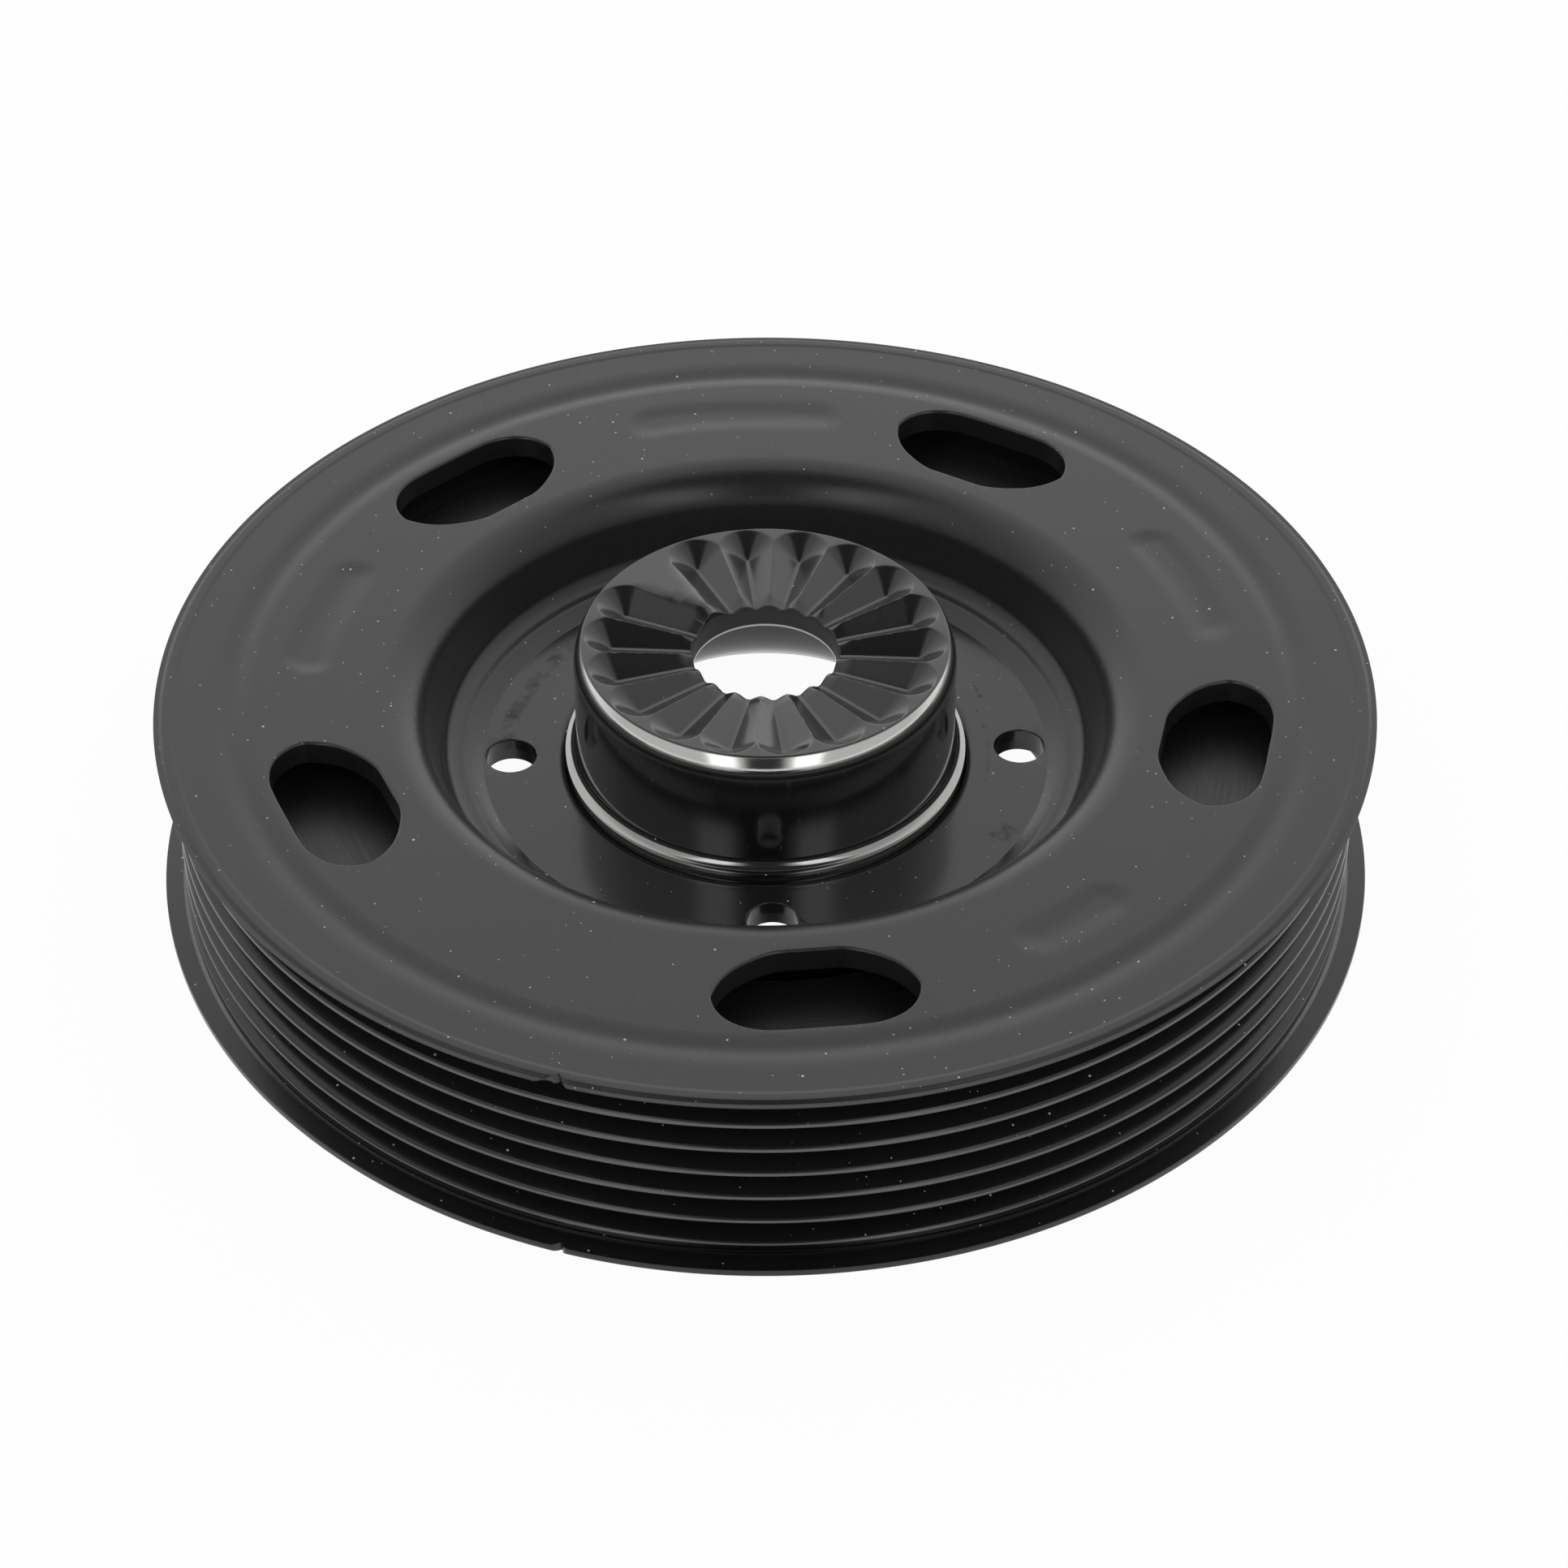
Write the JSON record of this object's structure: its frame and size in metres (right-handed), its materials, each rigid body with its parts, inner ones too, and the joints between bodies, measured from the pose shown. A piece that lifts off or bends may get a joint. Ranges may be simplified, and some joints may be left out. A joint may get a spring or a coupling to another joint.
{
  "type": "crankshaft pulley",
  "caption": "Multi-rib crankshaft pulley: slotted pressed plate, dished centre, turned hub with a radially serrated clamping face, grooved belt rim and rubber-mounted inertia ring.",
  "frame": {"origin": "on the pulley's axis, in the plane of the lowest rim face, so the pulley rests on Z = 0", "axes": "+Z along the axis towards the serrated engine-side face; the first web hole lies 1.65 degrees from +X"},
  "size_m": [0.1426, 0.1426, 0.0312],
  "materials": {
    "coated_sheet_steel": "satin dark grey coating on pressed and rolled sheet steel, nearly black and glossier in the belt grooves",
    "turned_steel": "turned and polished, dark, with bright sharp edges on the serrations",
    "turned_iron": "turned, with fine rings round the axis",
    "black_rubber": "matt"
  },
  "bodies": {
    "root": {"pulley_body": "coated_sheet_steel", "hub": "turned_steel", "inertia_ring": "turned_iron", "rubber_ring": "black_rubber"}
  },
  "joints": []
}
